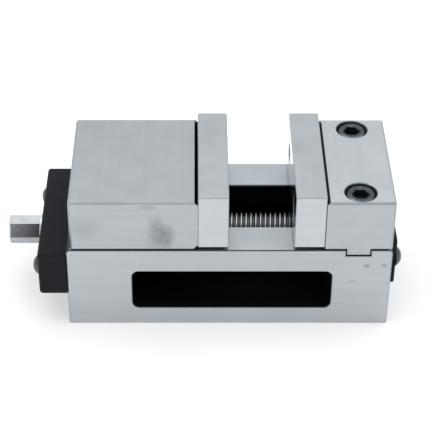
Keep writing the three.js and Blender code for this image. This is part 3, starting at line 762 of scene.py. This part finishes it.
# the thread is painted darker than the bare bar as shade, darkest at its roots
screw_root = polished_steel("thread_root_painted_shade", (0.05, 0.052, 0.055), 0.3)
screw_crest = polished_steel("thread_crest_painted_shade", (0.28, 0.285, 0.29), 0.22)
screw_finishes = [screw_bright, screw_root, screw_crest, hexagon_steel, hexagon_highlight_fade, hexagon_shaded]
make_piece(lead_screw, "lead_screw_bar", "screw", screw_finishes, ["lead_screw"],
           sharp_angle=30)

# ---- Thrust bearing -----------------------------------------------------------------------------------
# A collar pinned across the screw pushes on a needle bearing inside the drive end plate: two hardened washers
# with a cage of rollers between them. The collar and one washer turn with the screw.


def plain_ring(node, bore_radius, chamfer):
    """A turned ring with broken edges that fills the CAD ring's place."""
    low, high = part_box(node)
    radius = (high.z - low.z) / 2
    length = high.x - low.x
    ring = turned([
        (bore_radius, chamfer), (bore_radius + chamfer, 0), (radius - chamfer, 0), (radius, chamfer),
        (radius, length - chamfer), (radius - chamfer, length), (bore_radius + chamfer, length),
        (bore_radius, length - chamfer),
    ], closed=True)
    lay_along_x(ring, low.x, screw_axis)
    return ring


bearing_bore = journal_radius + 0.3 * mm
bearing_bright = polished_steel("ground_bearing_steel", (0.62, 0.63, 0.64), 0.12)
collar = plain_ring("thrust_collar", bearing_bore, 0.6 * mm)
make_piece(collar, "thrust_collar_ring", "screw", [screw_bright], ["thrust_collar"])
for node, body in (("thrust_washer_inner", "screw"), ("thrust_washer_outer", "base")):
    washer = plain_ring(node, bearing_bore, 0.15 * mm)
    make_piece(washer, f"{node}_ring", body, [bearing_bright], [node])

pin_low, pin_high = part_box("collar_pin")
pin_length = pin_high.z - pin_low.z
pin_radius = (pin_high.x - pin_low.x) / 2
pin_chamfer = pin_radius * 0.3
pin = turned([(0, 0), (pin_radius - pin_chamfer, 0), (pin_radius, pin_chamfer),
              (pin_radius, pin_length - pin_chamfer), (pin_radius - pin_chamfer, pin_length),
              (0, pin_length)], steps=24)
bmesh.ops.translate(pin, verts=pin.verts, vec=((pin_low.x + pin_high.x) / 2, 0, pin_low.z))
make_piece(pin, "collar_cross_pin", "screw", [bearing_bright], ["collar_pin"])

cage_low, cage_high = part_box("thrust_needle_cage")
cage_middle = (cage_low.x + cage_high.x) / 2
cage_radius = (cage_high.z - cage_low.z) / 2
cage_half = 0.3 * mm
cage = turned([(bearing_bore, -cage_half), (cage_radius, -cage_half), (cage_radius, cage_half),
               (bearing_bore, cage_half)], closed=True)
lay_along_x(cage, cage_middle, screw_axis)
roller_count = 28
roller_radius = 0.85 * mm
roller_inner = bearing_bore + 0.4 * mm
roller_outer = cage_radius - 0.3 * mm
for number in range(roller_count):
    roller = turned([(0, roller_inner), (roller_radius, roller_inner), (roller_radius, roller_outer),
                     (0, roller_outer)], steps=12)
    spread = Matrix.Rotation(2 * math.pi * number / roller_count, 4, "X")
    bmesh.ops.transform(roller, matrix=Matrix.Translation((cage_middle, 0, screw_axis)) @ spread,
                        verts=roller.verts)
    add_shape(cage, roller)
make_piece(cage, "needle_cage", "base", [bearing_bright], ["thrust_needle_cage"])

# ---- Nut, half ball and set screw ---------------------------------------------------------------------
# The nut is milled ductile iron. Its leaning post pulls the movable jaw forward and down through a hardened
# half ball, and a set screw from the jaw's rear end takes up the play behind it.

cast_iron = black_oxide_and_shade_finish("milled_ductile_iron", (0.10, 0.10, 0.10), roughness=0.5, metallic=0.8)
nut = merged_copy("lead_nut")


def off_the_bore(middle, direction):
    return math.hypot(middle.y, middle.z - screw_axis) > thread_radius + mm


break_edges(nut, 0.6 * mm, off_the_bore, finish=0)
make_piece(nut, "nut_block", "sliding_jaw", [cast_iron], ["lead_nut"])

ball = merged_copy("half_ball")
break_edges(ball, 0.2 * mm, lambda middle, direction: True, finish=0)
make_piece(ball, "half_ball_seat", "sliding_jaw", [bearing_bright], ["half_ball"])

set_low, set_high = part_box("nut_set_screw")
set_radius = (set_high.y - set_low.y) / 2
set_length = set_high.x - set_low.x
set_screw = turned([(3.1 * mm, 0), (set_radius - 0.6 * mm, 0), (set_radius, -0.6 * mm),
                    (set_radius, mm - set_length), (set_radius - mm, -set_length), (0, -set_length)])
sink_socket(set_screw, 5 * mm, 6 * mm)
place_screw(set_screw, "nut_set_screw", (-1, 0, 0))
make_piece(set_screw, "set_screw", "sliding_jaw", [fastener_black], ["nut_set_screw"])

# ---- Drive end ----------------------------------------------------------------------------------------
# A thick blackened steel plate closes the bed's drive end and holds the thrust bearing. Its outer edges are
# rounded; a bronze bush in it carries the screw, and two button-head screws hold it on.


button_socket = 1


def button_screw(node, outward, head_radius, head_height, shank_radius, across_flats, depth):
    low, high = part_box(node)
    length = abs((high - low).dot(Vector(outward)))
    dome_radius = (head_radius ** 2 + head_height ** 2) / (2 * head_height)
    socket_rim = across_flats / math.sqrt(3) * 1.05
    rim_turn = math.asin(head_radius / dome_radius)
    flat_turn = math.asin(socket_rim / dome_radius)
    dome_drop = dome_radius * (1 - math.cos(flat_turn))
    steps = 8
    outline = []
    for step in range(steps + 1):
        turn = flat_turn + (rim_turn - flat_turn) * step / steps
        outline.append((dome_radius * math.sin(turn), dome_drop - dome_radius * (1 - math.cos(turn))))
    under_head = outline[-1][1]
    shape = turned(outline + [(shank_radius, under_head), (shank_radius, mm - length),
                              (shank_radius - mm, -length), (0, -length)])
    sink_socket(shape, across_flats, depth)
    shape.normal_update()
    for face in shape.faces:
        middle = face.calc_center_median()
        if math.hypot(middle.x, middle.y) < socket_rim * 0.99 and -1.5 * depth < middle.z < -0.1 * depth:
            face.material_index = button_socket
    place_screw(shape, node, outward)
    return shape


end_plate_black = black_oxide_and_shade_finish("blackened_end_plate", (0.0105, 0.0115, 0.0145), roughness=0.68, gloss=0.2)
dome_steel = polished_steel("worn_button_head", (0.085, 0.089, 0.094), 0.16)
bush_bronze = polished_steel("bearing_bronze", (0.50, 0.31, 0.13), 0.3)
drive_plate = merged_copy("drive_end_plate")
drive_low, drive_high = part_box("drive_end_plate")


def on_drive_outline(middle, direction):
    touching = near(middle.x, drive_low.x) + near(abs(middle.y), drive_high.y)
    return touching + near(middle.z, drive_high.z) + near(middle.z, drive_low.z) >= 2


break_edges(drive_plate, 2.4 * mm, on_drive_outline, finish=0, segments=5)
make_piece(drive_plate, "drive_plate", "base", [end_plate_black], ["drive_end_plate"])
drive_bush = plain_ring("drive_bush", bearing_bore, 0.4 * mm)
make_piece(drive_bush, "drive_bush_ring", "base", [bush_bronze], ["drive_bush"])
button_sizes = {"head_radius": 7 * mm, "head_height": 4.1 * mm, "shank_radius": 4 * mm,
                "across_flats": 5 * mm, "depth": 2.6 * mm}
for side in ("front", "rear"):
    node = f"drive_plate_screw_{side}"
    button = button_screw(node, (-1, 0, 0), **button_sizes)
    make_piece(button, f"drive_button_{side}", "base", [dome_steel, socket_black], [node])

# ---- Tail end -----------------------------------------------------------------------------------------
# A thinner blackened plate with round corners keeps the screw's flanged bronze bush in the bed's other end.
# Two more button-head screws hold it.

tail_plate = merged_copy("tail_end_plate")
tail_low, tail_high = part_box("tail_end_plate")


def on_tail_outline(middle, direction):
    by_a_side = abs(middle.y) > 0.8 * tail_high.y
    by_top_or_bottom = min(middle.z - tail_low.z, tail_high.z - middle.z) < 4 * mm
    return near(middle.x, tail_high.x) and (by_a_side or by_top_or_bottom)


break_edges(tail_plate, 0.8 * mm, on_tail_outline, finish=0, segments=3)
make_piece(tail_plate, "tail_plate", "base", [end_plate_black], ["tail_end_plate"])

bush_low, bush_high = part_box("tail_bush")
bush_length = bush_high.x - bush_low.x
flange_radius = (bush_high.z - bush_low.z) / 2
flange_length = 4 * mm
barrel_radius = 11.3 * mm
tail_bore = tail_radius + 0.3 * mm
tail_bush = turned([
    (tail_bore, 0), (flange_radius - 0.4 * mm, 0), (flange_radius, 0.4 * mm), (flange_radius, flange_length),
    (barrel_radius, flange_length), (barrel_radius, bush_length - 0.4 * mm),
    (barrel_radius - 0.4 * mm, bush_length), (tail_bore, bush_length),
], closed=True)
lay_along_x(tail_bush, bush_low.x, screw_axis)
make_piece(tail_bush, "tail_bush_ring", "base", [bush_bronze], ["tail_bush"])
for side in ("front", "rear"):
    node = f"tail_plate_screw_{side}"
    button = button_screw(node, (1, 0, 0), **button_sizes)
    make_piece(button, f"tail_button_{side}", "base", [dome_steel, socket_black], [node])
